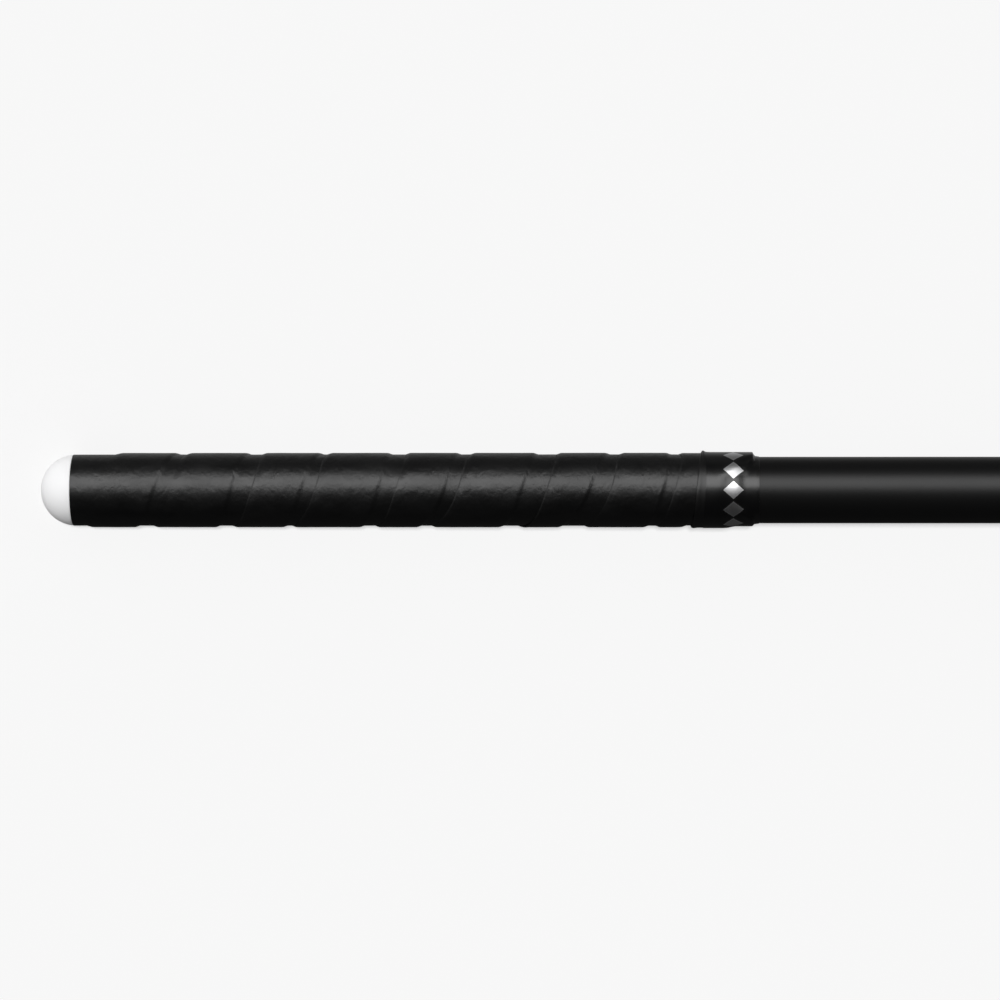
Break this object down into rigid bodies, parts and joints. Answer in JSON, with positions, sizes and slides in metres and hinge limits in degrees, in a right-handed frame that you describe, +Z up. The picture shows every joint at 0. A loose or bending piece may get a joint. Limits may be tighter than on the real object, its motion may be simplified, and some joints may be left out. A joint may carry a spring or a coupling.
{
  "type": "field hockey stick",
  "caption": "Field hockey stick with a taped round handle and white domed butt cap, a bowed shaft and a hooked head with a flat face on one side.",
  "frame": {"origin": "centre of the bounding box, at the level of the floor that the stick lies on, face down", "axes": "+X along the stick from the butt end to the head, +Y towards the toe, +Z up, away from the flat face"},
  "size_m": [0.9258, 0.121, 0.0473],
  "materials": {
    "shell": "satin",
    "inner_tube": "satin",
    "foam": "matte",
    "ply": "satin",
    "damper": "matte",
    "cap": "gloss",
    "adhesive": "matte",
    "grip": "matte",
    "band": "satin"
  },
  "bodies": {
    "root": {"outer_shell": "shell", "inner_tube_heel": "inner_tube", "inner_tube_toe": "inner_tube", "head_core": "foam", "face_ply": "ply", "handle_damper": "damper", "butt_cap": "cap", "grip_adhesive": "adhesive", "grip_tape": "grip", "finishing_tape": "band"}
  },
  "joints": []
}
